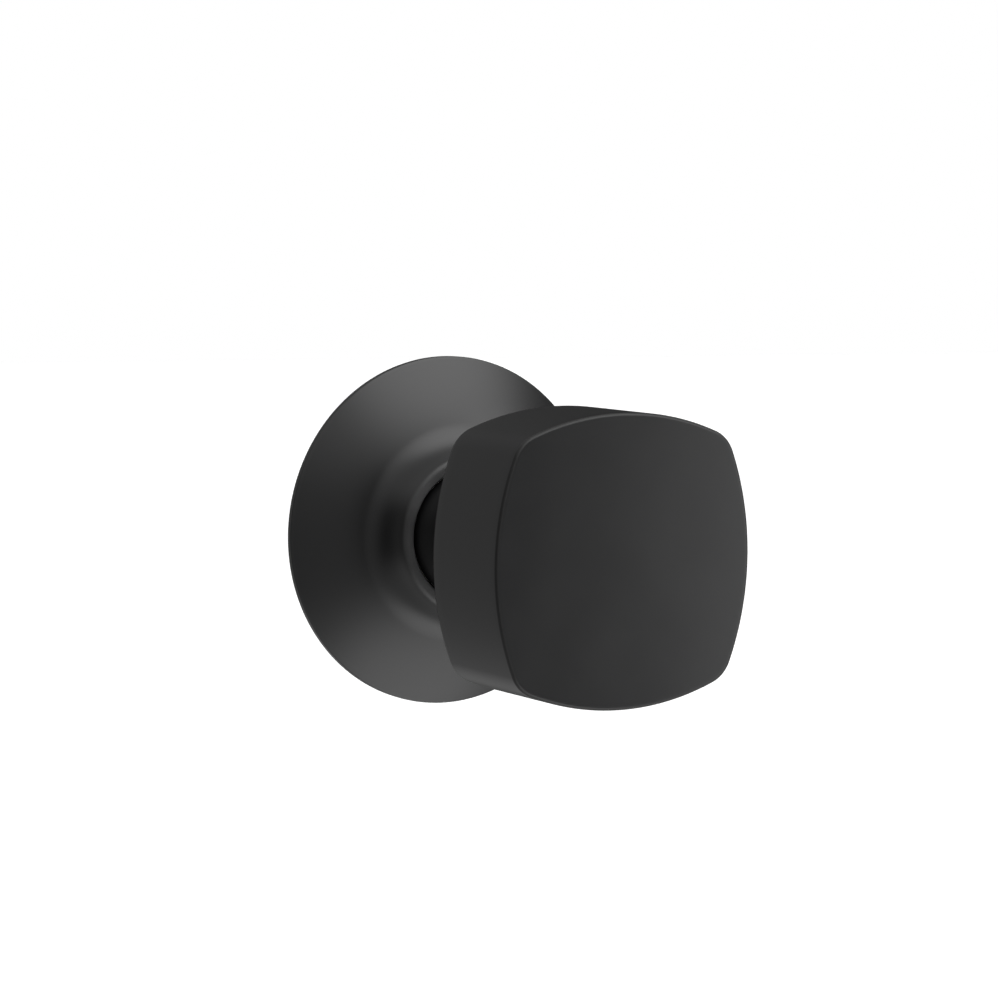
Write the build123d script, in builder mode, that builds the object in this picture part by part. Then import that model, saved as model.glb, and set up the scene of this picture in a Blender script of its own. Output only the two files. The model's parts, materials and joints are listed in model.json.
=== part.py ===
from build123d import *

import os

# One side of a passage door knob set: a soft-square knob that turns in a flared round rose.
# Frame: the door's face is the plane Y = 0, the knob turns about the Y axis and +Z is up.
# The room is on the -Y side and the door's bore on the +Y side. Every size is in millimetres.
# Plane.XZ.offset(h) lies h in front of the door's face, and extrude runs from it to the room.
# Turned pieces are outlines of (radius, y) points in the XY plane, revolved about the Y axis.

# Rose cover
ROSE_R = 33.35
ROSE_EDGE = 1.1
ROSE_FOOT = 1.2
RIM_STEP = 0.4
ROSE_SHEET = 1.1
FLARE_SAG = 0.55
THROAT = (17.6, -7.1)
THROAT_R = 9.0
COLLAR_R = 14.9
COLLAR_H = 11.6
COLLAR_SEAT = 5.9
LIP_BORE_R = 12.8
LIP_THICKNESS = 1.4
LIP_OUTER_ROUND = 1.5
LIP_INNER_ROUND = 0.5
EDGE_ROUND = 0.25

# Knob head: a square whose four sides bulge as arcs
HEAD_REAR = 41.5
HEAD_DEPTH = 23.1
HEAD_HALF = 26.0
HEAD_SIDE_R = 50.7
HEAD_CORNER_R = 6.5
HEAD_DRAFT = 0.5
HEAD_FRONT_ROUND = 0.6
HEAD_REAR_ROUND = 2.0

# Small chamfer on the edges of turned and sawn pieces
EDGE_BREAK = 0.3

# Neck, with a tenon into the head and a journal that turns in the rose
NECK_R = 12.3
SHOULDER = 9.95
TENON_R = 9.5
TENON_LENGTH = 10.0
JOURNAL_R = 8.95
JOURNAL_END = 2.4
RUNNING_GAP = 0.05
FIXED_GAP = 0.02

# Square spindle, its socket and the grub screw that holds it
SPINDLE = 8.0
SOCKET = SPINDLE + 2 * RUNNING_GAP
SPINDLE_REAR = 36.0
SPINDLE_FRONT = 33.5
SPINDLE_CHAMFER = 0.8
SOCKET_FRONT = 34.0
GRUB_R = 3.0
GRUB_PLACE = 17.0
GRUB_OUT = 11.7
HEX_KEY = 3.0

# Screw and dowels between neck and head
HEAD_SCREW_R = 2.0
HEAD_SCREW_CAP_R = 3.5
HEAD_SCREW_CAP = 4.0
HEAD_SCREW_BORE_R = 4.0
HEAD_SCREW_SEAT = 40.0
HEAD_SCREW_END = 58.0
DOWEL_R = 1.5
DOWEL_PLACE = 6.2
DOWEL_HALF = 3.0

# Mounting plate: a boss inside the cover, a seat on the door and a spigot in its bore
PLATE_R = 29.3
PLATE_FLANGE = 1.2
PLATE_BOSS_R = 23.5
PLATE_BOSS = 3.0
PLATE_RECESS = 0.4
SPIGOT_R = 26.7
SPIGOT_WALL = 1.7
SPIGOT_LENGTH = 3.0

# Bearing hub, its bush and the washers on each side of it
HUB_SPIGOT_R = 12.2
HUB_FLANGE_R = 17.0
HUB_FLANGE = 1.4
HUB_SLEEVE_R = 13.35
HUB_TOP = 9.4
BUSH_OUTER_R = 11.0
THRUST_WASHER = 0.5
O_RING_R = 14.2
O_RING_WIRE_R = 0.74
RING_GROOVE_R = 8.2
RING_GROOVE = (0.5, 1.6)
RING_OUTER_R = 10.4
RING_THICKNESS = 1.0
RING_LUG_R = 1.6
RING_LUG_HOLE_R = 0.8
RING_LUG_ANGLE = 15
RING_GAP = 3.2
DISC_SPRING_R = (9.1, 11.8)
DISC_SPRING_SHEET = 0.5
DISC_SPRING_DISH = 0.35

# Bolt posts that pass through the latch, 38 mm apart
POST_SPACING = 38.0
POST_R = 3.5
POST_COLLAR_R = 3.8
POST_FOOT_R = 5.0
POST_FOOT = 1.5
POST_REAR = 16.0
POST_THREAD_R = 1.65
POST_THREAD_DEPTH = 12.0

# Spring cassette behind the plate
CASSETTE_R = 14.5
CHAMBER_R = 13.0
FLOOR = (2.8, 3.8)
LID = (15.2, 16.4)
PILLAR_PLACE = 17.5
PILLAR_R = 3.2
HUB_HOLE_R = 7.0
CARRIER_R = 6.95
CARRIER_SHOULDER_R = 7.8
CARRIER_FRONT = 2.9
CARRIER_DISC = (9.0, 10.0)
CARRIER_DISC_R = 10.9
CARRIER_PLAY = 0.3
LUG_WIDTH = 4.4
LUG_REACH = 12.3
STOP_SIZE = (1.8, 2.4)
STOP_PLACE = 12.3
STOP_ANGLE = 75
STOP_DEPTH = (8.6, 10.4)

# Cassette screws and their washers
SCREW_R = 1.5
SCREW_HOLE_R = 1.65
SCREW_HEAD_R = 2.7
SCREW_HEAD = 1.7
CROSS_RECESS = (3.2, 0.6)
WASHER = 0.5

# Return springs
SPRING_R = 9.2
SPRING_WIRE_R = 0.6
SPRING_LENGTH = 3.6
SPRING_STANDOFF = 0.8
LEG_HOLE_R = 0.75

os.makedirs("parts", exist_ok=True)


def save(builder, name):
    """Label a finished piece and write it as its own STEP file."""
    builder.part.label = name
    export_step(builder.part, f"parts/{name}.step")


def pillar_outline():
    """Outline shared by the cassette's housing and lid: a disc with two screw pillars."""
    Circle(CASSETTE_R)
    SlotCenterToCenter(2 * PILLAR_PLACE, 2 * PILLAR_R, rotation=90)


# ---------------------------------------------------------------- knob head
half_side = HEAD_HALF - HEAD_SIDE_R
corner = (half_side + (2 * HEAD_SIDE_R**2 - half_side**2) ** 0.5) / 2
corners = [(-corner, corner), (corner, corner), (corner, -corner), (-corner, -corner)]
middles = [(0, HEAD_HALF), (HEAD_HALF, 0), (0, -HEAD_HALF), (-HEAD_HALF, 0)]
tenon_end = HEAD_REAR + TENON_LENGTH

with BuildPart() as knob_head:
    with BuildSketch(Plane.XZ.offset(HEAD_REAR)) as head_outline:
        with BuildLine():
            for start, middle, end in zip(corners, middles, corners[1:] + corners[:1]):
                ThreePointArc(start, middle, end)
        make_face()
        fillet(head_outline.vertices(), HEAD_CORNER_R)
    extrude(amount=HEAD_DEPTH, taper=HEAD_DRAFT)
    fillet(knob_head.faces().sort_by(Axis.Y)[0].edges(), HEAD_FRONT_ROUND)
    fillet(knob_head.faces().sort_by(Axis.Y)[-1].edges(), HEAD_REAR_ROUND)
    with BuildSketch(Plane.XZ.offset(HEAD_REAR)):
        Circle(TENON_R + FIXED_GAP)
    extrude(amount=TENON_LENGTH, mode=Mode.SUBTRACT)
    with BuildSketch(Plane.XZ.offset(tenon_end)):
        Circle(HEAD_SCREW_R)
    extrude(amount=HEAD_SCREW_END - tenon_end, mode=Mode.SUBTRACT)
    with BuildSketch(Plane.XZ.offset(tenon_end)):
        with Locations((0, DOWEL_PLACE), (0, -DOWEL_PLACE)):
            Circle(DOWEL_R)
    extrude(amount=DOWEL_HALF, mode=Mode.SUBTRACT)
save(knob_head, "knob_head")

# ---------------------------------------------------------------- knob neck
groove_front, groove_rear = RING_GROOVE
with BuildPart() as knob_neck:
    with BuildSketch(Plane.XY):
        with BuildLine():
            Polyline(
                (0, JOURNAL_END),
                (JOURNAL_R - EDGE_BREAK, JOURNAL_END),
                (JOURNAL_R, JOURNAL_END - EDGE_BREAK),
                (JOURNAL_R, groove_rear),
                (RING_GROOVE_R, groove_rear),
                (RING_GROOVE_R, groove_front),
                (JOURNAL_R, groove_front),
                (JOURNAL_R, -SHOULDER),
                (NECK_R - EDGE_BREAK, -SHOULDER),
                (NECK_R, -SHOULDER - EDGE_BREAK),
                (NECK_R, -HEAD_REAR),
                (TENON_R, -HEAD_REAR),
                (TENON_R, EDGE_BREAK - tenon_end),
                (TENON_R - EDGE_BREAK, -tenon_end),
                (0, -tenon_end),
                close=True,
            )
        make_face()
    revolve(axis=Axis.Y)
    with BuildSketch(Plane.XZ.offset(-JOURNAL_END)):
        Rectangle(SOCKET, SOCKET)
    extrude(amount=JOURNAL_END + SOCKET_FRONT, mode=Mode.SUBTRACT)
    with BuildSketch(Plane.XZ.offset(SOCKET_FRONT)):
        Circle(HEAD_SCREW_BORE_R)
    extrude(amount=HEAD_SCREW_SEAT - SOCKET_FRONT, mode=Mode.SUBTRACT)
    with BuildSketch(Plane.XZ.offset(HEAD_SCREW_SEAT)):
        Circle(HEAD_SCREW_R + RUNNING_GAP)
    extrude(amount=tenon_end - HEAD_SCREW_SEAT, mode=Mode.SUBTRACT)
    with BuildSketch(Plane.XZ.offset(tenon_end)):
        with Locations((0, DOWEL_PLACE), (0, -DOWEL_PLACE)):
            Circle(DOWEL_R)
    extrude(amount=-DOWEL_HALF, mode=Mode.SUBTRACT)
    with BuildSketch(Plane.XY.offset(-NECK_R)):
        with Locations((0, -GRUB_PLACE)):
            Circle(GRUB_R)
    extrude(amount=NECK_R, mode=Mode.SUBTRACT)
save(knob_neck, "knob_neck")

# ---------------------------------------------------------------- grub screw under the neck
with BuildPart() as neck_grub_screw:
    with BuildSketch(Plane.XY.offset(-GRUB_OUT)):
        with Locations((0, -GRUB_PLACE)):
            Circle(GRUB_R - FIXED_GAP)
    extrude(amount=GRUB_OUT - SPINDLE / 2 - FIXED_GAP)
    chamfer(neck_grub_screw.faces().sort_by(Axis.Z)[-1].edges(), EDGE_BREAK)
    with BuildSketch(Plane.XY.offset(-GRUB_OUT)):
        with Locations((0, -GRUB_PLACE)):
            RegularPolygon(HEX_KEY / 2, 6, major_radius=False)
    extrude(amount=HEX_KEY, mode=Mode.SUBTRACT)
save(neck_grub_screw, "neck_grub_screw")

# ---------------------------------------------------------------- screw from neck into head
with BuildPart() as head_screw:
    with BuildSketch(Plane.XZ.offset(HEAD_SCREW_SEAT - HEAD_SCREW_CAP)):
        Circle(HEAD_SCREW_CAP_R)
    extrude(amount=HEAD_SCREW_CAP)
    chamfer(head_screw.faces().sort_by(Axis.Y)[-1].edges(), EDGE_BREAK)
    with BuildSketch(Plane.XZ.offset(HEAD_SCREW_SEAT)):
        Circle(HEAD_SCREW_R - FIXED_GAP)
    extrude(amount=HEAD_SCREW_END - HEAD_SCREW_SEAT - EDGE_BREAK)
    with BuildSketch(Plane.XZ.offset(HEAD_SCREW_SEAT - HEAD_SCREW_CAP)):
        RegularPolygon(HEX_KEY / 2, 6, major_radius=False)
    extrude(amount=HEAD_SCREW_CAP / 2, mode=Mode.SUBTRACT)
save(head_screw, "head_screw")

# ---------------------------------------------------------------- dowels from neck into head
with BuildPart() as neck_dowels:
    with BuildSketch(Plane.XZ.offset(tenon_end - DOWEL_HALF)):
        with Locations((0, DOWEL_PLACE), (0, -DOWEL_PLACE)):
            Circle(DOWEL_R - FIXED_GAP)
    extrude(amount=2 * DOWEL_HALF - FIXED_GAP)
    chamfer(neck_dowels.edges().filter_by(GeomType.CIRCLE), EDGE_BREAK)
save(neck_dowels, "neck_dowels")

# ---------------------------------------------------------------- square spindle
with BuildPart() as spindle:
    with BuildSketch(Plane.XZ.offset(-SPINDLE_REAR)):
        Rectangle(SPINDLE, SPINDLE)
    extrude(amount=SPINDLE_REAR + SPINDLE_FRONT)
    chamfer(spindle.faces().sort_by(Axis.Y)[0].edges(), SPINDLE_CHAMFER)
    chamfer(spindle.faces().sort_by(Axis.Y)[-1].edges(), SPINDLE_CHAMFER)
save(spindle, "spindle")

# ---------------------------------------------------------------- retaining ring and disc spring
with BuildPart() as retaining_ring:
    with BuildSketch(Plane.XZ.offset(-RING_GROOVE[1] + RUNNING_GAP)):
        Circle(RING_OUTER_R)
        with PolarLocations(RING_OUTER_R, 2, start_angle=270 - RING_LUG_ANGLE,
                            angular_range=2 * RING_LUG_ANGLE, endpoint=True):
            Circle(RING_LUG_R)
        Circle(RING_GROOVE_R + FIXED_GAP, mode=Mode.SUBTRACT)
        with Locations((0, -RING_OUTER_R)):
            Rectangle(RING_GAP, RING_OUTER_R, mode=Mode.SUBTRACT)
        with PolarLocations(RING_OUTER_R, 2, start_angle=270 - RING_LUG_ANGLE,
                            angular_range=2 * RING_LUG_ANGLE, endpoint=True):
            Circle(RING_LUG_HOLE_R, mode=Mode.SUBTRACT)
    extrude(amount=RING_THICKNESS)
save(retaining_ring, "retaining_ring")

disc_in, disc_out = DISC_SPRING_R
with BuildPart() as disc_spring:
    with BuildSketch(Plane.XY):
        with BuildLine():
            Polyline(
                (disc_in, groove_front),
                (disc_out, groove_front - DISC_SPRING_DISH),
                (disc_out, groove_front - DISC_SPRING_DISH - DISC_SPRING_SHEET),
                (disc_in, groove_front - DISC_SPRING_SHEET),
                close=True,
            )
        make_face()
    revolve(axis=Axis.Y)
save(disc_spring, "disc_spring")

# ---------------------------------------------------------------- rose cover
rim_in = ROSE_R - ROSE_FOOT
flare_start = (ROSE_R, -ROSE_EDGE)
inner_start = (rim_in, -RIM_STEP)
inner_end = (THROAT[0] + ROSE_SHEET, -COLLAR_SEAT)
with BuildPart() as rose_cover:
    with BuildSketch(Plane.XY) as cover_outline:
        with BuildLine():
            SagittaArc(flare_start, THROAT, FLARE_SAG)
            Polyline(
                THROAT,
                (COLLAR_R, -COLLAR_H),
                (LIP_BORE_R, -COLLAR_H),
                (LIP_BORE_R, LIP_THICKNESS - COLLAR_H),
                (HUB_SLEEVE_R + RUNNING_GAP, LIP_THICKNESS - COLLAR_H),
                (HUB_SLEEVE_R + RUNNING_GAP, -COLLAR_SEAT),
                inner_end,
            )
            SagittaArc(inner_end, inner_start, -FLARE_SAG)
            Polyline(inner_start, (rim_in, 0), (ROSE_R, 0), flare_start)
        make_face()
        points = cover_outline.vertices()
        fillet(points.sort_by_distance((*THROAT, 0))[0], THROAT_R)
        points = cover_outline.vertices()
        fillet(points.sort_by_distance((COLLAR_R, -COLLAR_H, 0))[0], LIP_OUTER_ROUND)
        points = cover_outline.vertices()
        fillet(points.sort_by_distance((LIP_BORE_R, -COLLAR_H, 0))[0], LIP_INNER_ROUND)
        points = cover_outline.vertices()
        fillet(points.sort_by_distance((*flare_start, 0))[0], EDGE_ROUND)
    revolve(axis=Axis.Y)
save(rose_cover, "rose_cover")

# ---------------------------------------------------------------- mounting plate
with BuildPart() as mounting_plate:
    with BuildSketch(Plane.XY):
        with BuildLine():
            Polyline(
                (HUB_SPIGOT_R + FIXED_GAP, -PLATE_RECESS),
                (SPIGOT_R - SPIGOT_WALL, -PLATE_RECESS),
                (SPIGOT_R - SPIGOT_WALL, SPIGOT_LENGTH),
                (SPIGOT_R - EDGE_BREAK, SPIGOT_LENGTH),
                (SPIGOT_R, SPIGOT_LENGTH - EDGE_BREAK),
                (SPIGOT_R, 0),
                (PLATE_R, 0),
                (PLATE_R, -PLATE_FLANGE),
                (PLATE_BOSS_R + PLATE_BOSS - PLATE_FLANGE, -PLATE_FLANGE),
                (PLATE_BOSS_R, -PLATE_BOSS),
                (HUB_SPIGOT_R + FIXED_GAP, -PLATE_BOSS),
                close=True,
            )
        make_face()
    revolve(axis=Axis.Y)
    with BuildSketch(Plane.XZ.offset(PLATE_BOSS)):
        with GridLocations(POST_SPACING, 0, 2, 1):
            Circle(POST_FOOT_R + FIXED_GAP)
    extrude(amount=-POST_FOOT, mode=Mode.SUBTRACT)
    with BuildSketch(Plane.XZ.offset(PLATE_BOSS)):
        with GridLocations(POST_SPACING, 0, 2, 1):
            Circle(POST_COLLAR_R + FIXED_GAP)
        with GridLocations(0, 2 * PILLAR_PLACE, 1, 2):
            Circle(SCREW_R + FIXED_GAP)
    extrude(amount=-PLATE_BOSS, mode=Mode.SUBTRACT)
save(mounting_plate, "mounting_plate")

# ---------------------------------------------------------------- bolt posts
with BuildPart() as bolt_posts:
    with BuildSketch(Plane.XZ.offset(-POST_REAR)):
        with GridLocations(POST_SPACING, 0, 2, 1):
            Circle(POST_R)
    extrude(amount=POST_REAR + PLATE_RECESS)
    chamfer(bolt_posts.faces().group_by(Axis.Y)[-1].edges(), EDGE_BREAK)
    with BuildSketch(Plane.XZ.offset(PLATE_RECESS)):
        with GridLocations(POST_SPACING, 0, 2, 1):
            Circle(POST_COLLAR_R)
    extrude(amount=PLATE_BOSS - POST_FOOT - PLATE_RECESS)
    with BuildSketch(Plane.XZ.offset(PLATE_BOSS)):
        with GridLocations(POST_SPACING, 0, 2, 1):
            Circle(POST_FOOT_R)
    extrude(amount=-POST_FOOT)
    with BuildSketch(Plane.XZ.offset(-POST_REAR)):
        with GridLocations(POST_SPACING, 0, 2, 1):
            Circle(POST_THREAD_R)
    extrude(amount=POST_THREAD_DEPTH, mode=Mode.SUBTRACT)
save(bolt_posts, "bolt_posts")

# ---------------------------------------------------------------- bearing hub and its wearing parts
with BuildPart() as bearing_hub:
    with BuildSketch(Plane.XY):
        with BuildLine():
            Polyline(
                (BUSH_OUTER_R + FIXED_GAP, -PLATE_RECESS),
                (HUB_SPIGOT_R, -PLATE_RECESS),
                (HUB_SPIGOT_R, -PLATE_BOSS),
                (HUB_FLANGE_R, -PLATE_BOSS),
                (HUB_FLANGE_R, -PLATE_BOSS - HUB_FLANGE),
                (HUB_SLEEVE_R, -PLATE_BOSS - HUB_FLANGE),
                (HUB_SLEEVE_R, -HUB_TOP),
                (BUSH_OUTER_R + FIXED_GAP, -HUB_TOP),
                close=True,
            )
        make_face()
    revolve(axis=Axis.Y)
    chamfer(bearing_hub.edges().filter_by(GeomType.CIRCLE).sort_by(Axis.Y)[0], EDGE_BREAK)
save(bearing_hub, "bearing_hub")

with BuildPart() as neck_bush:
    with BuildSketch(Plane.XZ.offset(PLATE_RECESS)):
        Circle(BUSH_OUTER_R)
        Circle(JOURNAL_R + RUNNING_GAP, mode=Mode.SUBTRACT)
    extrude(amount=HUB_TOP - PLATE_RECESS)
save(neck_bush, "neck_bush")

with BuildPart() as thrust_washer:
    with BuildSketch(Plane.XZ.offset(HUB_TOP)):
        Circle(HUB_SPIGOT_R)
        Circle(JOURNAL_R + 4 * RUNNING_GAP, mode=Mode.SUBTRACT)
    extrude(amount=THRUST_WASHER)
save(thrust_washer, "thrust_washer")

with BuildPart() as cover_o_ring:
    with BuildSketch(Plane.XY):
        with Locations((O_RING_R, -(PLATE_BOSS + HUB_FLANGE + COLLAR_SEAT) / 2)):
            Circle(O_RING_WIRE_R)
    revolve(axis=Axis.Y)
save(cover_o_ring, "cover_o_ring")

# ---------------------------------------------------------------- return springs
# Each is the sleeve that its coil fills, with the two straight legs that hold its ends.
floor_rear = FLOOR[1]
lid_front = LID[0]
front_end = (SPRING_R, 0)
rear_end = (-SPRING_R, 0)
spring_starts = {
    "return_spring_front": floor_rear + SPRING_STANDOFF,
    "return_spring_rear": CARRIER_DISC[1] + SPRING_STANDOFF,
}
for name, y_start in spring_starts.items():
    y_end = y_start + SPRING_LENGTH
    with BuildPart() as return_spring:
        with BuildSketch(Plane.XZ.offset(-y_end - SPRING_WIRE_R)):
            Circle(SPRING_R + SPRING_WIRE_R)
            Circle(SPRING_R - SPRING_WIRE_R, mode=Mode.SUBTRACT)
        extrude(amount=SPRING_LENGTH + 2 * SPRING_WIRE_R)
        chamfer(return_spring.edges(), SPRING_WIRE_R / 2)
        with BuildSketch(Plane.XZ.offset(-y_start)):
            with Locations(front_end):
                Circle(SPRING_WIRE_R)
        extrude(amount=2 * SPRING_STANDOFF)
        with BuildSketch(Plane.XZ.offset(-y_end)):
            with Locations(rear_end):
                Circle(SPRING_WIRE_R)
        extrude(amount=-2 * SPRING_STANDOFF)
    save(return_spring, name)

# ---------------------------------------------------------------- spring carrier on the spindle
disc_front, disc_rear = CARRIER_DISC
with BuildPart() as spring_carrier:
    with BuildSketch(Plane.XY):
        with BuildLine():
            Polyline(
                (0, CARRIER_FRONT),
                (CARRIER_R, CARRIER_FRONT),
                (CARRIER_R, FLOOR[1] + CARRIER_PLAY),
                (CARRIER_SHOULDER_R, FLOOR[1] + CARRIER_PLAY),
                (CARRIER_SHOULDER_R, disc_front),
                (CARRIER_DISC_R, disc_front),
                (CARRIER_DISC_R, disc_rear),
                (CARRIER_SHOULDER_R, disc_rear),
                (CARRIER_SHOULDER_R, LID[0] - CARRIER_PLAY),
                (CARRIER_R, LID[0] - CARRIER_PLAY),
                (CARRIER_R, LID[1]),
                (0, LID[1]),
                close=True,
            )
        make_face()
    revolve(axis=Axis.Y)
    with BuildSketch(Plane.XZ.offset(-disc_rear)):
        with Locations((0, LUG_REACH / 2 + CARRIER_SHOULDER_R / 2)):
            Rectangle(LUG_WIDTH, LUG_REACH - CARRIER_SHOULDER_R)
    extrude(amount=disc_rear - disc_front)
    with BuildSketch(Plane.XZ.offset(-disc_rear)):
        with Locations(front_end, rear_end):
            Circle(LEG_HOLE_R)
    extrude(amount=disc_rear - disc_front, mode=Mode.SUBTRACT)
    with BuildSketch(Plane.XZ.offset(-LID[1])):
        Rectangle(SOCKET, SOCKET)
    extrude(amount=LID[1] - CARRIER_FRONT, mode=Mode.SUBTRACT)
save(spring_carrier, "spring_carrier")

# ---------------------------------------------------------------- cassette housing and lid
with BuildPart() as spring_housing:
    with BuildSketch(Plane.XZ.offset(-lid_front)):
        pillar_outline()
    extrude(amount=lid_front + PLATE_RECESS)
    with BuildSketch(Plane.XZ.offset(PLATE_RECESS)):
        Circle(CHAMBER_R)
    extrude(amount=-PLATE_RECESS - FLOOR[0], mode=Mode.SUBTRACT)
    with BuildSketch(Plane.XZ.offset(-lid_front)):
        Circle(CHAMBER_R)
    extrude(amount=lid_front - floor_rear, mode=Mode.SUBTRACT)
    with BuildSketch(Plane.XZ.offset(-STOP_DEPTH[1])):
        with PolarLocations(STOP_PLACE, 2, start_angle=90 - STOP_ANGLE,
                            angular_range=2 * STOP_ANGLE, endpoint=True):
            Rectangle(*STOP_SIZE)
    extrude(amount=STOP_DEPTH[1] - STOP_DEPTH[0])
    with BuildSketch(Plane.XZ.offset(-lid_front)):
        Circle(HUB_HOLE_R)
        with GridLocations(0, 2 * PILLAR_PLACE, 1, 2):
            Circle(SCREW_HOLE_R)
        with Locations(front_end):
            Circle(LEG_HOLE_R)
    extrude(amount=lid_front + PLATE_RECESS, mode=Mode.SUBTRACT)
save(spring_housing, "spring_housing")

with BuildPart() as housing_lid:
    with BuildSketch(Plane.XZ.offset(-LID[1])):
        pillar_outline()
        Circle(HUB_HOLE_R, mode=Mode.SUBTRACT)
        with GridLocations(0, 2 * PILLAR_PLACE, 1, 2):
            Circle(SCREW_HOLE_R, mode=Mode.SUBTRACT)
        with Locations(rear_end):
            Circle(LEG_HOLE_R, mode=Mode.SUBTRACT)
    extrude(amount=LID[1] - LID[0])
    chamfer(housing_lid.faces().sort_by(Axis.Y)[-1].outer_wire().edges(), EDGE_BREAK)
save(housing_lid, "housing_lid")

# ---------------------------------------------------------------- cassette screws and washers
head_seat = LID[1] + WASHER
with BuildPart() as cassette_screws:
    with BuildSketch(Plane.XZ.offset(-head_seat - SCREW_HEAD)):
        with GridLocations(0, 2 * PILLAR_PLACE, 1, 2):
            Circle(SCREW_HEAD_R)
    extrude(amount=SCREW_HEAD)
    fillet(cassette_screws.faces().group_by(Axis.Y)[-1].edges(), SCREW_HEAD / 2)
    with BuildSketch(Plane.XZ.offset(-head_seat)):
        with GridLocations(0, 2 * PILLAR_PLACE, 1, 2):
            Circle(SCREW_R)
    extrude(amount=head_seat + PLATE_BOSS - EDGE_BREAK)
    with BuildSketch(Plane.XZ.offset(-head_seat - SCREW_HEAD)):
        with GridLocations(0, 2 * PILLAR_PLACE, 1, 2):
            Rectangle(*CROSS_RECESS)
            Rectangle(*reversed(CROSS_RECESS))
    extrude(amount=SCREW_HEAD / 2, mode=Mode.SUBTRACT)
save(cassette_screws, "cassette_screws")

with BuildPart() as lock_washers:
    with BuildSketch(Plane.XZ.offset(-head_seat)):
        with GridLocations(0, 2 * PILLAR_PLACE, 1, 2):
            Circle(SCREW_HEAD_R + WASHER)
            Circle(SCREW_HOLE_R, mode=Mode.SUBTRACT)
    extrude(amount=WASHER)
save(lock_washers, "lock_washers")
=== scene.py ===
"""Looks of a passage door knob: soft-square knob, flared round rose, and the works behind it.

Metres, in the CAD frame: the door's face is the plane y = 0, the room is on the -y side, +z is up.
"""
import json
from math import atan2, cos, pi, radians, sin, sqrt

import bmesh
import bpy
from mathutils import Matrix, Vector


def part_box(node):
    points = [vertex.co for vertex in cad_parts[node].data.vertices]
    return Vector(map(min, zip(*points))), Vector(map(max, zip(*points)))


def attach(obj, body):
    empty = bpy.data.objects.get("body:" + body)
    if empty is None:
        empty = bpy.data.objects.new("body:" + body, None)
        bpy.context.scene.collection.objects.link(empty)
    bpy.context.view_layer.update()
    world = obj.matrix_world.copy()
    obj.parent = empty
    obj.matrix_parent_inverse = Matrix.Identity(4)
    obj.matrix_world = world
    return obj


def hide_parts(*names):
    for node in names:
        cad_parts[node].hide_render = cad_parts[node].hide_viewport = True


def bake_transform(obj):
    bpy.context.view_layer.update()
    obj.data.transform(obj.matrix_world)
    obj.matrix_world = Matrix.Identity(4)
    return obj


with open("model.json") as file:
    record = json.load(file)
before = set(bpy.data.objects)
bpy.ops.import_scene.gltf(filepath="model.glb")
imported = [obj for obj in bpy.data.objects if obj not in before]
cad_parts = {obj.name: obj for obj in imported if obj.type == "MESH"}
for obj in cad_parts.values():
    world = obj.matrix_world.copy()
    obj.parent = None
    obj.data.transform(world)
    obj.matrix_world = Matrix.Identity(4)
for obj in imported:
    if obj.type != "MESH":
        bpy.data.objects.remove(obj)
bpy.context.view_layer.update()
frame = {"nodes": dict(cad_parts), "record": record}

MM = 0.001

# ------------------------------------------------------------------ sizes, in millimetres
ROSE_EDGE = 1.1             # height of the rose's thin rim
FLARE_SAG = 0.55            # how far the flare hollows below a straight cone
THROAT = (17.6, -7.1)       # where the flare would meet the collar's wall
THROAT_R = 9.0
COLLAR_R = 14.9
COLLAR_SEAT = 5.9
COLLAR_BORE_R = 13.4
LIP_BORE_R = 12.8
LIP_THICKNESS = 1.4
LIP_OUTER_ROUND = 1.5
LIP_INNER_ROUND = 0.5
EDGE_ROUND = 0.25
INNER_START = (32.15, -0.4)
INNER_END = (18.7, -5.9)

HEAD_SIDE_R = 50.7          # arc of each bulged side
HEAD_CORNER_R = 6.5
HEAD_DRAFT = radians(0.5)
HEAD_FRONT_ROUND = 0.6
HEAD_REAR_ROUND = 2.0
TENON_R = 9.52
TENON_LENGTH = 10.0
TAP_R = 2.0
TAP_END = 58.0
EDGE_WEAR = 0.12            # share of worn coat on the rims; the lip has a full share, which is painted light against the head's shade

SPRING_R = 9.2
SPRING_WIRE_R = 0.6
SPRING_TURNS = 2.5
SPRING_LENGTH = 3.6
SPRING_LEG = 1.6
SPRINGS = (("return_spring_front", "rose", "knob", 1), ("return_spring_rear", "knob", "rose", -1))

# ------------------------------------------------------------------ fineness of the meshes
CREASE = radians(28)        # faces that meet more sharply than this keep a hard edge
SIDE_POINTS = 40            # points along each bulged side of the head's outline
CORNER_POINTS = 24
FACE_RINGS = (0.02, 0.2, 0.4, 0.6, 0.8, 0.93, 0.985)    # sizes of the front face's rings
EDGE_STEPS = 14
SIDE_STEPS = 12
BACK_RINGS = (0.05, 0.3, 0.6, 1.0)                      # places of the back's rings, from edge to socket
ROSE_SEGMENTS = 256
RIM_STEPS = 5
FLARE_STEPS = 36
THROAT_STEPS = 16
LIP_STEPS = 12
LIP_INNER_STEPS = 8
INNER_STEPS = 20
COIL_STEPS = 48             # points to a turn of a spring
WIRE_FINENESS = 4

# ------------------------------------------------------------------ camera and light
CAMERA_AZIMUTH = radians(-29.97)
CAMERA_ELEVATION = radians(4.81)
CAMERA_ROLL = radians(-0.51)
CAMERA_DISTANCE = 0.5436
CAMERA_LENS = 100.87
SENSOR = 36.0
AIM = Vector((0.01195, 0.0, 0.00533))
FLOOR_DROP = 0.2            # floor below the knob's axis
FLOOR_SPAN = 6.0

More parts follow.
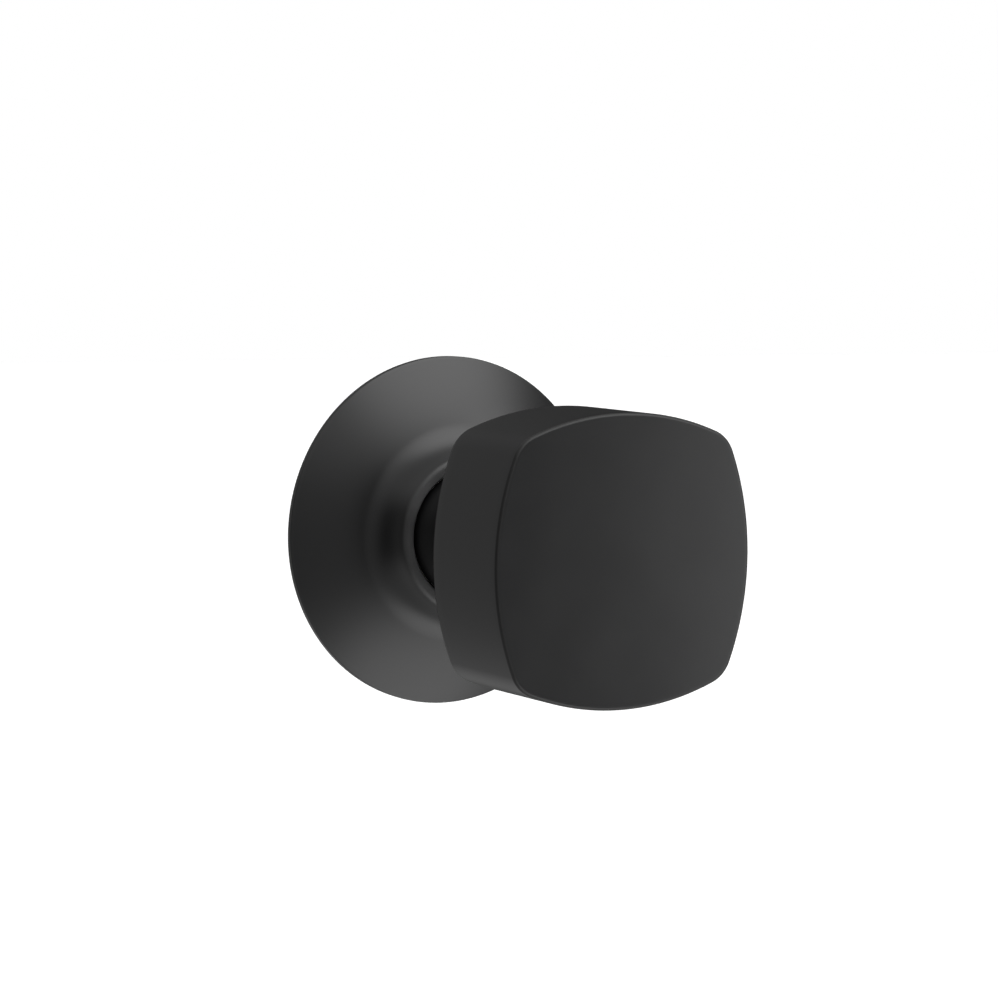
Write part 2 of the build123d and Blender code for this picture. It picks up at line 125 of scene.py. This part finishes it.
# The studio's light, with none over most directions. Each light is (azimuth, elevation) of its middle in
# degrees, the cosines of the angles from there at which it starts and is full, and its strength.
BELT = 0.01
LIGHTS = (
    ((0, 75), (0.35, 0.75), 0.7),
    ((31, 46), (0.80, 0.98), 2.5),
    ((0, -90), (0.30, 0.70), 0.5),
    ((25, -50), (0.82, 0.98), 1.75),
    ((-15, 0), (0.75, 1.0), 0.32),
    ((-140, 0), (0.1, 1.0), 0.29),
)
PANEL_PLACE = Vector((0.20, -0.22, 0.0))
PANEL_SIZE = (0.12, 0.30)
PANEL_RADIANCE = 2.15

# ------------------------------------------------------------------ black coat
COAT_DARK = (0.0090, 0.0090, 0.0094)
COAT_LIGHT = (0.0112, 0.0112, 0.0115)
# painted shade: a near-black coat colour that darkens the head's front edge and the lip, for the dark line
# along the edge
COAT_PAINTED_SHADE = (0.002, 0.002, 0.002)
# a lighter grey: edge wear on the rims, and painted light that brightens the lip where the head shades it
COAT_WEAR_AND_PAINTED_LIGHT = (0.100, 0.100, 0.101)
COAT_ROUGHNESS = (0.295, 0.315)
DULL_ROUGHNESS = 0.22       # what a dull edge adds to the coat's roughness


def frame_camera():
    """Camera on the room side, a little to the left of the knob and just above it."""
    azimuth, elevation = CAMERA_AZIMUTH, CAMERA_ELEVATION
    back = Vector((sin(azimuth) * cos(elevation), -cos(azimuth) * cos(elevation), sin(elevation)))
    level = Vector((cos(azimuth), sin(azimuth), 0))
    upright = back.cross(level)
    right = cos(CAMERA_ROLL) * level - sin(CAMERA_ROLL) * upright
    up = sin(CAMERA_ROLL) * level + cos(CAMERA_ROLL) * upright
    camera = bpy.data.objects.new("camera", bpy.data.cameras.new("camera"))
    camera.data.sensor_width = SENSOR
    camera.data.lens = CAMERA_LENS
    camera.data.clip_start = 0.01
    turn = Matrix((right, up, back)).transposed().to_4x4()
    camera.matrix_world = Matrix.Translation(AIM + CAMERA_DISTANCE * back) @ turn
    bpy.context.scene.collection.objects.link(camera)
    bpy.context.scene.camera = camera


def heading(azimuth, elevation):
    """Direction at an azimuth and elevation in degrees, where (0, 0) is straight out of the door."""
    turn, rise = radians(azimuth), radians(elevation)
    return Vector((sin(turn) * cos(rise), -cos(turn) * cos(rise), sin(rise)))


def studio_world():
    """A white room as the camera sees it, and large soft lights above, below, in front and behind."""
    world = bpy.data.worlds.new("studio")
    world.use_nodes = True
    bpy.context.scene.world = world
    nodes, links = world.node_tree.nodes, world.node_tree.links
    nodes.clear()
    view = nodes.new("ShaderNodeTexCoord").outputs["Generated"]

    def light(direction, limits, strength):
        """A soft patch of light around a direction."""
        dot = nodes.new("ShaderNodeVectorMath")
        dot.operation = "DOT_PRODUCT"
        links.new(view, dot.inputs[0])
        dot.inputs[1].default_value = direction
        node = nodes.new("ShaderNodeMapRange")
        node.interpolation_type = "SMOOTHSTEP"
        links.new(dot.outputs["Value"], node.inputs["Value"])
        for name, value in zip(("From Min", "From Max", "To Min", "To Max"), (*limits, 0, strength)):
            node.inputs[name].default_value = value
        return node.outputs[0]

    total = None
    for middle, limits, strength in LIGHTS:
        node = nodes.new("ShaderNodeMath")
        node.operation = "ADD"
        links.new(light(heading(*middle), limits, strength), node.inputs[0])
        if total:
            links.new(total, node.inputs[1])
        else:
            node.inputs[1].default_value = BELT
        total = node.outputs[0]
    lit = nodes.new("ShaderNodeBackground")
    links.new(total, lit.inputs["Strength"])
    seen = nodes.new("ShaderNodeBackground")
    for background in (lit, seen):
        background.inputs["Color"].default_value = (1, 1, 1, 1)
    path = nodes.new("ShaderNodeLightPath")
    mix = nodes.new("ShaderNodeMixShader")
    links.new(path.outputs["Is Camera Ray"], mix.inputs[0])
    links.new(lit.outputs[0], mix.inputs[1])
    links.new(seen.outputs[0], mix.inputs[2])
    links.new(mix.outputs[0], nodes.new("ShaderNodeOutputWorld").inputs["Surface"])


def side_panel():
    """A soft light panel close by on the right, which brightens the knob's face towards that side."""
    light = bpy.data.lights.new("side_panel", "AREA")
    light.shape = "RECTANGLE"
    light.size, light.size_y = PANEL_SIZE
    light.energy = pi * PANEL_SIZE[0] * PANEL_SIZE[1] * PANEL_RADIANCE
    panel = bpy.data.objects.new("side_panel", light)
    aim = Vector((0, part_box("knob_head")[0].y, 0))
    panel.matrix_world = (
        Matrix.Translation(PANEL_PLACE) @ (PANEL_PLACE - aim).to_track_quat("Z", "Y").to_matrix().to_4x4()
    )
    panel.visible_camera = False
    bpy.context.scene.collection.objects.link(panel)


def pale_floor():
    """A plain pale floor. Its bounce on the object comes from the studio's own light from below."""
    mesh = bpy.data.meshes.new("floor")
    corners = [(x * FLOOR_SPAN, y * FLOOR_SPAN, -FLOOR_DROP) for x, y in ((-1, -1), (1, -1), (1, 1), (-1, 1))]
    mesh.from_pydata(corners, [], [(0, 1, 2, 3)])
    floor = bpy.data.objects.new("floor", mesh)
    bpy.context.scene.collection.objects.link(floor)
    material = bpy.data.materials.new("floor_paint")
    material.use_nodes = True
    paint = material.node_tree.nodes["Principled BSDF"]
    paint.inputs["Base Color"].default_value = (0.88, 0.88, 0.88, 1)
    paint.inputs["Roughness"].default_value = 0.9
    paint.inputs["Emission Color"].default_value = (1, 1, 1, 1)
    paint.inputs["Emission Strength"].default_value = 0.4
    mesh.materials.append(material)
    floor.visible_glossy = False
    floor.visible_diffuse = False
    floor.visible_shadow = False


# ------------------------------------------------------------------ mesh helpers
def new_piece(name, bm):
    """Turn a bmesh into a named object, smooth except at its sharp edges."""
    bmesh.ops.recalc_face_normals(bm, faces=bm.faces)
    for face in bm.faces:
        face.smooth = True
    for edge in bm.edges:
        edge.smooth = len(edge.link_faces) == 2 and edge.calc_face_angle() < CREASE
    mesh = bpy.data.meshes.new(name)
    bm.to_mesh(mesh)
    bm.free()
    piece = bpy.data.objects.new(name, mesh)
    bpy.context.scene.collection.objects.link(piece)
    return piece


def skin(name, rings, marks, closed):
    """A surface through rings of points, each ring with its shares of worn coat with painted light, and of dull
    coat with painted shade.

    A closed skin joins its last ring to its first. An open one ends in a point at each end.
    """
    bm = bmesh.new()
    layers = [bm.verts.layers.float.new(mark) for mark in ("wear_and_painted_light", "dull_and_painted_shade")]
    rows = []
    for ring, shares in zip(rings, marks):
        row = [bm.verts.new(Vector(point) * MM) for point in ring]
        for vert in row:
            for layer, share in zip(layers, shares):
                vert[layer] = share
        rows.append(row)
    count = len(rows[0])
    pairs = list(zip(rows, rows[1:] + rows[:1])) if closed else list(zip(rows, rows[1:]))
    for a, b in pairs:
        for i in range(count):
            j = (i + 1) % count
            bm.faces.new((a[i], a[j], b[j], b[i]))
    if not closed:
        for row in (rows[0], rows[-1]):
            tip = bm.verts.new(sum((v.co for v in row), Vector()) / count)
            for i in range(count):
                bm.faces.new((row[i], row[(i + 1) % count], tip))
    return new_piece(name, bm)


def turned_rings(profile, segments):
    """Rings of a profile of (radius, y) points turned about the y axis."""
    turns = [2 * pi * i / segments for i in range(segments)]
    return [[(r * cos(t), y, r * sin(t)) for t in turns] for r, y in profile]


def arc(centre, radius, start, end, steps):
    """Points of an arc from one angle to another, both ends included."""
    angles = [start + (end - start) * i / steps for i in range(steps + 1)]
    return [(centre[0] + radius * cos(a), centre[1] + radius * sin(a)) for a in angles]


def near(angle, base):
    """The same angle, taken within half a turn of base."""
    if angle - base > pi:
        return angle - 2 * pi
    if base - angle > pi:
        return angle + 2 * pi
    return angle


def slant(centre, point):
    """Angle of the line from centre to point."""
    return atan2(point[1] - centre[1], point[0] - centre[0])


def round_corner(before, corner, after, radius, steps):
    """Points of the fillet that rounds a corner between two straight runs."""
    c = Vector(corner)
    a, b = (Vector(before) - c).normalized(), (Vector(after) - c).normalized()
    half = a.angle(b) / 2
    centre = c + (a + b).normalized() * radius / sin(half)
    reach = radius / (sin(half) / cos(half))
    start, end = slant(centre, c + a * reach), slant(centre, c + b * reach)
    return arc(centre, radius, start, near(end, start), steps)


def sagitta_circle(start, end, sagitta):
    """Centre and radius of the arc from start to end that bulges by sagitta to the left of them."""
    a, b = Vector(start), Vector(end)
    chord = b - a
    radius = chord.length**2 / (8 * abs(sagitta)) + abs(sagitta) / 2
    left = Vector((-chord.y, chord.x)).normalized()
    side = 1 if sagitta > 0 else -1
    return (a + b) / 2 + left * side * (abs(sagitta) - radius), radius


# ------------------------------------------------------------------ visible metalwork
def head_outline():
    """Outline of the knob's head by the direction of its normal: (centre, radius, normal) for each point."""
    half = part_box("knob_head")[1].x / MM
    offset = half - HEAD_SIDE_R
    corner = (offset + sqrt(2 * (HEAD_SIDE_R - HEAD_CORNER_R) ** 2 - offset**2)) / 2
    reach = atan2(corner, corner - offset)
    points = []
    for quarter in range(4):
        turn = quarter * pi / 2
        for i in range(SIDE_POINTS):
            angle = turn - reach + 2 * reach * i / SIDE_POINTS
            centre = Vector((cos(turn), sin(turn))) * offset
            points.append((centre, HEAD_SIDE_R, Vector((cos(angle), sin(angle)))))
        for i in range(CORNER_POINTS):
            angle = turn + reach + (pi / 2 - 2 * reach) * i / CORNER_POINTS
            centre = Vector((cos(turn + pi / 4), sin(turn + pi / 4))) * corner * sqrt(2)
            points.append((centre, HEAD_CORNER_R, Vector((cos(angle), sin(angle)))))
    return points


def knob_head():
    """The solid head: flat front, drafted bulged sides, rounded edges, and the socket for the neck."""
    low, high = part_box("knob_head")
    front, rear = low.y / MM, high.y / MM
    outline = head_outline()

    def ring(inset, y, scale=1.0):
        return [(*((c + (r - inset) * n) * scale), y) for c, r, n in outline]

    def circle(radius, y):
        return [(radius * n.x, radius * n.y, y) for _, _, n in outline]

    def draft(y):
        return (rear - y) * sin(HEAD_DRAFT)

    rings, marks = [], []

    def add(points, wear_and_painted_light=0.0, dull_and_painted_shade=0.0):
        rings.append([(x, y, z) for x, z, y in points])
        marks.append((wear_and_painted_light, dull_and_painted_shade))

    front_inset = HEAD_FRONT_ROUND + draft(front + HEAD_FRONT_ROUND)
    for scale in FACE_RINGS:
        add(ring(front_inset, front, scale))
    quarter = [pi / 2 * i / EDGE_STEPS for i in range(EDGE_STEPS + 1)]
    # painted shade: the front edge's round gets a darker, duller coat, strongest halfway round
    for a in quarter:
        y = front + HEAD_FRONT_ROUND * (1 - cos(a))
        add(ring(front_inset - HEAD_FRONT_ROUND * sin(a), y), dull_and_painted_shade=sin(2 * a))
    side_front, side_rear = front + HEAD_FRONT_ROUND, rear - HEAD_REAR_ROUND
    for i in range(1, SIDE_STEPS):
        y = side_front + (side_rear - side_front) * i / SIDE_STEPS
        add(ring(draft(y), y))
    for a in quarter:
        y = side_rear + HEAD_REAR_ROUND * sin(a)
        add(ring(draft(side_rear) + HEAD_REAR_ROUND * (1 - cos(a)), y), EDGE_WEAR * sin(2 * a) ** 2)
    edge = ring(draft(side_rear) + HEAD_REAR_ROUND, rear)
    mouth = circle(TENON_R, rear)
    for share in BACK_RINGS:
        add([tuple(Vector(p).lerp(Vector(q), share)) for p, q in zip(edge, mouth)])
    floor = rear - TENON_LENGTH
    for radius, y in ((TENON_R, floor), (TAP_R, floor), (TAP_R, -TAP_END)):
        add(circle(radius, y))
    return skin("knob_head_body", rings, marks, closed=False)


def throat_fillet(centre, radius, wall_from, wall_to):
    """Centre of the throat's fillet, and the points where it meets the flare's circle and the collar's wall."""
    wall = (Vector(wall_to) - Vector(wall_from)).normalized()
    room_side = Vector((-wall.y, wall.x))
    foot = Vector(wall_from) + THROAT_R * room_side - centre
    along = foot.dot(wall)
    slide = sqrt(along**2 - foot.length_squared + (radius + THROAT_R) ** 2) - along
    fillet = centre + foot + slide * wall
    return fillet, centre + radius * (fillet - centre).normalized(), fillet - THROAT_R * room_side


def rose_profile():
    """Outline of the rose cover as (radius, y), with the shares of worn coat with painted light, and of dull
    coat with painted shade, at each point.
    """
    low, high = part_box("rose_cover")
    top, rim = low.y / MM, high.x / MM
    start, collar = (rim, -ROSE_EDGE), (COLLAR_R, top)
    lip, bore_end = (LIP_BORE_R, top), (LIP_BORE_R, top + LIP_THICKNESS)
    centre, radius = sagitta_circle(start, THROAT, FLARE_SAG)
    fillet, touch, leave = throat_fillet(centre, radius, THROAT, collar)
    throat_from = slant(fillet, touch)
    throat_to = near(slant(fillet, leave), throat_from)
    flare = arc(centre, radius, slant(centre, start), slant(centre, touch), FLARE_STEPS)

    profile = []

    def add(points, wear_and_painted_light=0.0, dull_and_painted_shade=0.0):
        profile.extend((*point, wear_and_painted_light, dull_and_painted_shade) for point in points)

    add([(rim, 0)])
    add(round_corner((rim, 0), start, flare[1], EDGE_ROUND, RIM_STEPS), EDGE_WEAR)
    # the flare starts where the rim's round has ended
    add([p for p in flare if p[0] < rim - 1.5 * EDGE_ROUND])
    add(arc(fillet, THROAT_R, throat_from, throat_to, THROAT_STEPS)[1:])
    # the lip ramps up to full shares of painted light (a lighter coat where the head shades it) and of painted
    # shade with a duller coat
    for i, point in enumerate(round_corner(leave, collar, lip, LIP_OUTER_ROUND, LIP_STEPS)):
        add([point], i / LIP_STEPS, i / LIP_STEPS)
    add(round_corner(collar, lip, bore_end, LIP_INNER_ROUND, LIP_INNER_STEPS), 1, 1)
    add([bore_end, (COLLAR_BORE_R, top + LIP_THICKNESS), (COLLAR_BORE_R, -COLLAR_SEAT), INNER_END])
    centre, radius = sagitta_circle(INNER_START, INNER_END, FLARE_SAG)
    add(arc(centre, radius, slant(centre, INNER_END), slant(centre, INNER_START), INNER_STEPS)[1:])
    add([(INNER_START[0], 0)])
    return profile


def rose_cover():
    """The spun cover: thin rim, hollow flare, throat and rolled lip, open behind."""
    profile = rose_profile()
    rings = turned_rings([point[:2] for point in profile], ROSE_SEGMENTS)
    return skin("rose_cover_body", rings, [point[2:] for point in profile], closed=True)


def coil_spring(name, front, hand):
    """A torsion spring about the y axis, with a leg along the axis at each end."""
    count = int(SPRING_TURNS * COIL_STEPS)
    path = []
    for i in range(count + 1):
        turn = hand * 2 * pi * i / COIL_STEPS
        y = front + SPRING_LENGTH * i / count
        path.append(Vector((SPRING_R * cos(turn), y, SPRING_R * sin(turn))))
    path.insert(0, path[0] - Vector((0, SPRING_LEG, 0)))
    path.append(path[-1] + Vector((0, SPRING_LEG, 0)))
    curve = bpy.data.curves.new(name, "CURVE")
    curve.dimensions = "3D"
    curve.bevel_depth = SPRING_WIRE_R * MM
    curve.bevel_resolution = WIRE_FINENESS
    curve.use_fill_caps = True
    spline = curve.splines.new("POLY")
    spline.points.add(len(path) - 1)
    for point, place in zip(spline.points, path):
        point.co = (*(place * MM), 1)
    line = bpy.data.objects.new(name + "_line", curve)
    mesh = bpy.data.meshes.new_from_object(line)
    bpy.data.objects.remove(line)
    mesh.name = name
    piece = bpy.data.objects.new(name, mesh)
    bpy.context.scene.collection.objects.link(piece)
    mesh.polygons.foreach_set("use_smooth", [True] * len(mesh.polygons))
    return piece


# ------------------------------------------------------------------ materials
class Finish:
    """A principled material built node by node, in the object's own metres."""

    def __init__(self, name, metallic=0.0, ior=1.5):
        self.material = bpy.data.materials.new(name)
        self.material.use_nodes = True
        self.tree = self.material.node_tree
        self.shader = self.tree.nodes["Principled BSDF"]
        self.shader.inputs["Metallic"].default_value = metallic
        self.shader.inputs["IOR"].default_value = ior
        self.place = self.tree.nodes.new("ShaderNodeTexCoord").outputs["Object"]
        self.height = None

    def node(self, kind, **inputs):
        made = self.tree.nodes.new(kind)
        for name, value in inputs.items():
            socket = made.inputs[name.replace("_", " ")]
            if isinstance(value, bpy.types.NodeSocket):
                self.tree.links.new(value, socket)
            else:
                socket.default_value = value
        return made

    def noise(self, grains_per_mm, detail=2.0, stretch=None):
        """Noise from 0 to 1 with that many grains to the millimetre."""
        place = self.place
        if stretch:
            place = self.node("ShaderNodeMapping", Vector=place, Scale=stretch).outputs[0]
        made = self.node("ShaderNodeTexNoise", Vector=place, Scale=grains_per_mm / MM, Detail=detail)
        return made.outputs["Fac"]

    def between(self, value, low, high, from_low=0.3, from_high=0.7):
        """value, spread from low to high."""
        made = self.node("ShaderNodeMapRange", Value=value)
        for name, number in zip(("From Min", "From Max", "To Min", "To Max"), (from_low, from_high, low, high)):
            made.inputs[name].default_value = number
        return made.outputs[0]

    def colour(self, value, dark, light):
        made = self.node("ShaderNodeMix")
        made.data_type = "RGBA"
        self.tree.links.new(value, made.inputs["Factor"])
        made.inputs[6].default_value = (*dark, 1)
        made.inputs[7].default_value = (*light, 1)
        self.tree.links.new(made.outputs[2], self.shader.inputs["Base Color"])
        return made.outputs[2]

    def over(self, under, share, top):
        """Base colour that goes from under to top by share."""
        made = self.node("ShaderNodeMix")
        made.data_type = "RGBA"
        self.tree.links.new(share, made.inputs["Factor"])
        self.tree.links.new(under, made.inputs[6])
        made.inputs[7].default_value = (*top, 1)
        self.tree.links.new(made.outputs[2], self.shader.inputs["Base Color"])
        return made.outputs[2]

    def attribute(self, name):
        made = self.node("ShaderNodeAttribute")
        made.attribute_name = name
        return made.outputs["Fac"]

    def times(self, a, b):
        made = self.node("ShaderNodeMath", Value=a)
        made.operation = "MULTIPLY"
        self.tree.links.new(b, made.inputs[1])
        return made.outputs[0]

    def roughness(self, value):
        self.tree.links.new(value, self.shader.inputs["Roughness"])

    def bump(self, value, depth_mm, strength=1.0):
        """Raise the surface by value, up to that many millimetres."""
        made = self.node("ShaderNodeBump", Height=value, Strength=strength, Distance=depth_mm * MM)
        if self.height:
            self.tree.links.new(self.height, made.inputs["Normal"])
        self.height = made.outputs["Normal"]
        self.tree.links.new(self.height, self.shader.inputs["Normal"])


def black_coat():
    """Satin black powder coat: a fine grain and a slow orange peel, worn lighter along the rims, with painted
    light on the lip, and painted shade as a darker, duller coat along the head's front edge and the lip.
    """
    finish = Finish("satin_black_coat")
    cloud = finish.noise(0.06, detail=3)
    patchy = finish.between(cloud, 0.2, 1.0)
    # painted light on the lip and wear on the rims, in patches
    wear_and_painted_light = finish.times(finish.attribute("wear_and_painted_light"), patchy)
    dull_and_painted_shade = finish.attribute("dull_and_painted_shade")
    coat = finish.colour(finish.between(cloud, 0, 1), COAT_DARK, COAT_LIGHT)
    # painted shade: darker coat along the head's front edge and the lip
    coat = finish.over(coat, dull_and_painted_shade, COAT_PAINTED_SHADE)
    finish.over(coat, wear_and_painted_light, COAT_WEAR_AND_PAINTED_LIGHT)
    rough = finish.node("ShaderNodeMath", Value=finish.between(cloud, *COAT_ROUGHNESS))
    finish.tree.links.new(finish.between(dull_and_painted_shade, 0.0, DULL_ROUGHNESS, 0.0, 1.0), rough.inputs[1])
    finish.roughness(rough.outputs[0])
    finish.bump(finish.noise(0.9, detail=1), 0.004, 0.35)
    finish.bump(finish.noise(7.0, detail=2), 0.002, 0.35)
    return finish.material


def metal(name, dark, light, rough, grains_per_mm=1.2, depth=0.003, stretch=None):
    """Bare or plated metal with clouds of tone and a fine surface grain."""
    finish = Finish(name, metallic=1.0)
    cloud = finish.noise(0.15, detail=4)
    grain = finish.noise(grains_per_mm, detail=3, stretch=stretch)
    finish.colour(finish.between(cloud, 0, 1), dark, light)
    finish.roughness(finish.between(grain, rough - 0.06, rough + 0.06))
    finish.bump(grain, depth, 0.5)
    return finish.material


def plastic(name, dark, light, rough, grains_per_mm=2.0, depth=0.002):
    """Moulded nylon or rubber with a faint texture."""
    finish = Finish(name)
    cloud = finish.noise(0.2, detail=3)
    grain = finish.noise(grains_per_mm, detail=2)
    finish.colour(finish.between(cloud, 0, 1), dark, light)
    finish.roughness(finish.between(grain, rough - 0.05, rough + 0.05))
    finish.bump(grain, depth, 0.4)
    return finish.material


def finishes():
    """One material for each slot of the record."""
    turned = (1, 12, 1)
    return {
        "black_coat": black_coat(),
        "black_oxide_steel": metal("black_oxide", (0.02, 0.02, 0.022), (0.045, 0.045, 0.05), 0.45),
        "zinc_steel": metal("zinc_plate", (0.56, 0.57, 0.59), (0.64, 0.65, 0.66), 0.32, 4.0, 0.0015),
        "bright_steel": metal("ground_steel", (0.55, 0.55, 0.55), (0.61, 0.61, 0.61), 0.25),
        "spring_steel": metal("spring_steel", (0.25, 0.24, 0.23), (0.32, 0.31, 0.30), 0.35),
        "sintered_steel": metal("sintered_steel", (0.20, 0.20, 0.20), (0.26, 0.26, 0.26), 0.55, 5.0, 0.01),
        "cast_zinc": metal("cast_zinc", (0.42, 0.43, 0.45), (0.50, 0.51, 0.53), 0.48, 2.5, 0.008),
        "zinc_sheet": metal("zinc_sheet", (0.55, 0.56, 0.58), (0.63, 0.64, 0.66), 0.33, 1.5, 0.003),
        "turned_brass": metal("turned_brass", (0.66, 0.47, 0.20), (0.80, 0.60, 0.30), 0.28, 1.0, 0.004, turned),
        "nylon": plastic("nylon", (0.70, 0.69, 0.64), (0.82, 0.81, 0.77), 0.45),
        "rubber": plastic("rubber", (0.012, 0.012, 0.012), (0.025, 0.025, 0.025), 0.6),
    }


def dress_frame(materials):
    """Give every CAD node the finish of its slot in the record."""
    for subpart in frame["record"]["subparts"]:
        node = frame["nodes"][subpart["node"]]
        node.data.materials.clear()
        node.data.materials.append(materials[subpart["material_slot"]])


def coat(piece, node, slot, materials):
    """Let a piece stand for a CAD node in that node's finish."""
    piece.data.materials.clear()
    piece.data.materials.append(materials[slot])
    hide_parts(node)


def place(piece, node, body, slot, materials):
    """Let a piece stand for a CAD node, on that node's body and in its finish."""
    coat(piece, node, slot, materials)
    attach(piece, body)


def place_spring(node, hand, materials):
    """A coil in place of its CAD sleeve, fixed in place and on no body."""
    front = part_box(node)[0].y / MM + SPRING_LEG
    coil = coil_spring(node + "_coil", front, hand)
    coat(coil, node, "spring_steel", materials)
    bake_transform(coil)


bpy.context.scene.view_settings.view_transform = "Standard"
frame_camera()
studio_world()
side_panel()
pale_floor()
slots = finishes()
dress_frame(slots)
place(knob_head(), "knob_head", "knob", "black_coat", slots)
place(rose_cover(), "rose_cover", "rose", "black_coat", slots)
for node, first, last, hand in SPRINGS:
    place_spring(node, hand, slots)
